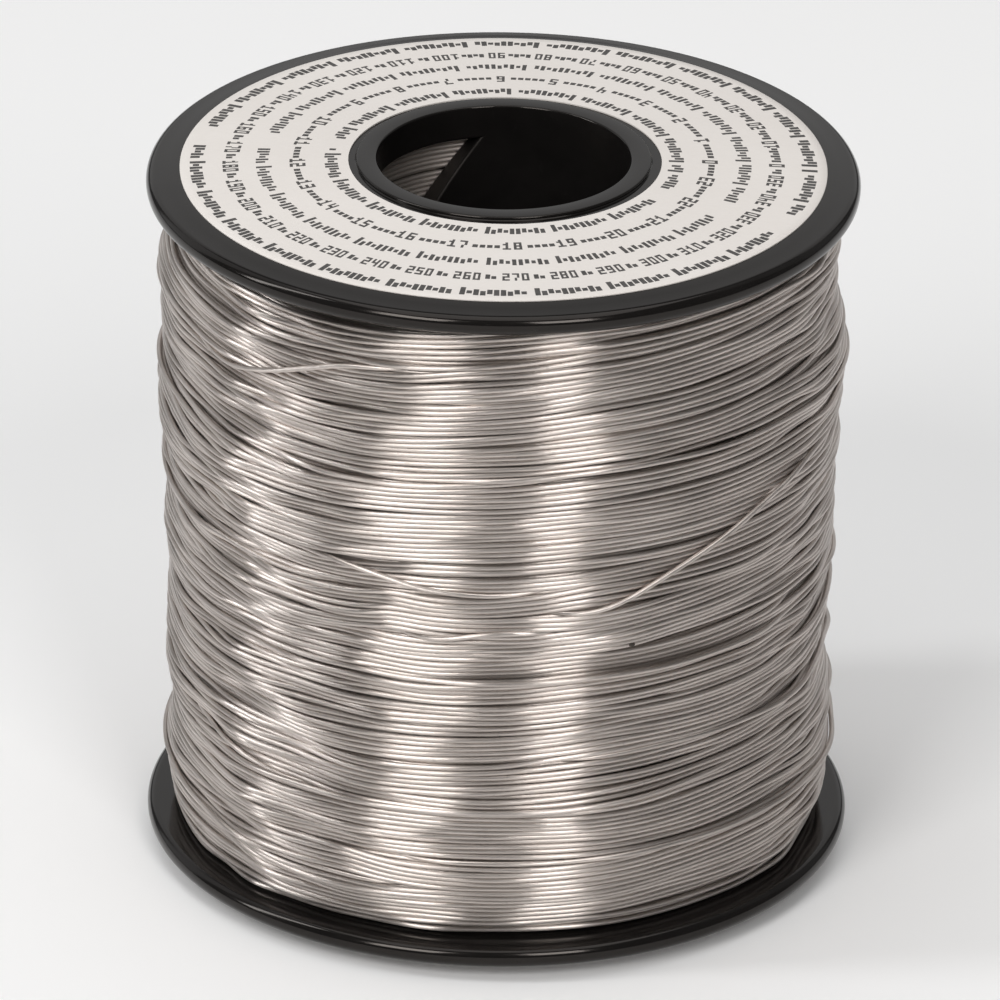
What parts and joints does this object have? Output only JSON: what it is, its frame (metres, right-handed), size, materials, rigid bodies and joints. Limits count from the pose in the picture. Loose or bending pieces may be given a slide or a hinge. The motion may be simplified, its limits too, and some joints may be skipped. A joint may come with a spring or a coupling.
{
  "type": "solder wire spool",
  "caption": "Flanged reel with a windowed core barrel and a through bore, wound full of thin solder wire, with a round paper label on each end.",
  "frame": {"origin": "centre of the spool's resting face: the middle of the bore, on the plane of the lower hub ring that it stands on", "axes": "+Z along the bore axis, up through the labelled end; the barrel's windows are centred at 135 and 315 degrees from +X towards +Y, so X and Y each pass through the solid wall between them"},
  "size_m": [0.052, 0.052, 0.0541],
  "materials": {
    "flange_plastic": "black moulded polystyrene, satin to gloss",
    "core_plastic": "black moulded polystyrene, dull inside",
    "label_paper": "matte white paper label",
    "solder_wire": "soft grey tin-lead wire, satin"
  },
  "bodies": {
    "root": {"top_flange": "flange_plastic", "bottom_flange": "flange_plastic", "core_barrel": "core_plastic", "top_label": "label_paper", "bottom_label": "label_paper", "solder_winding": "solder_wire"}
  },
  "joints": []
}
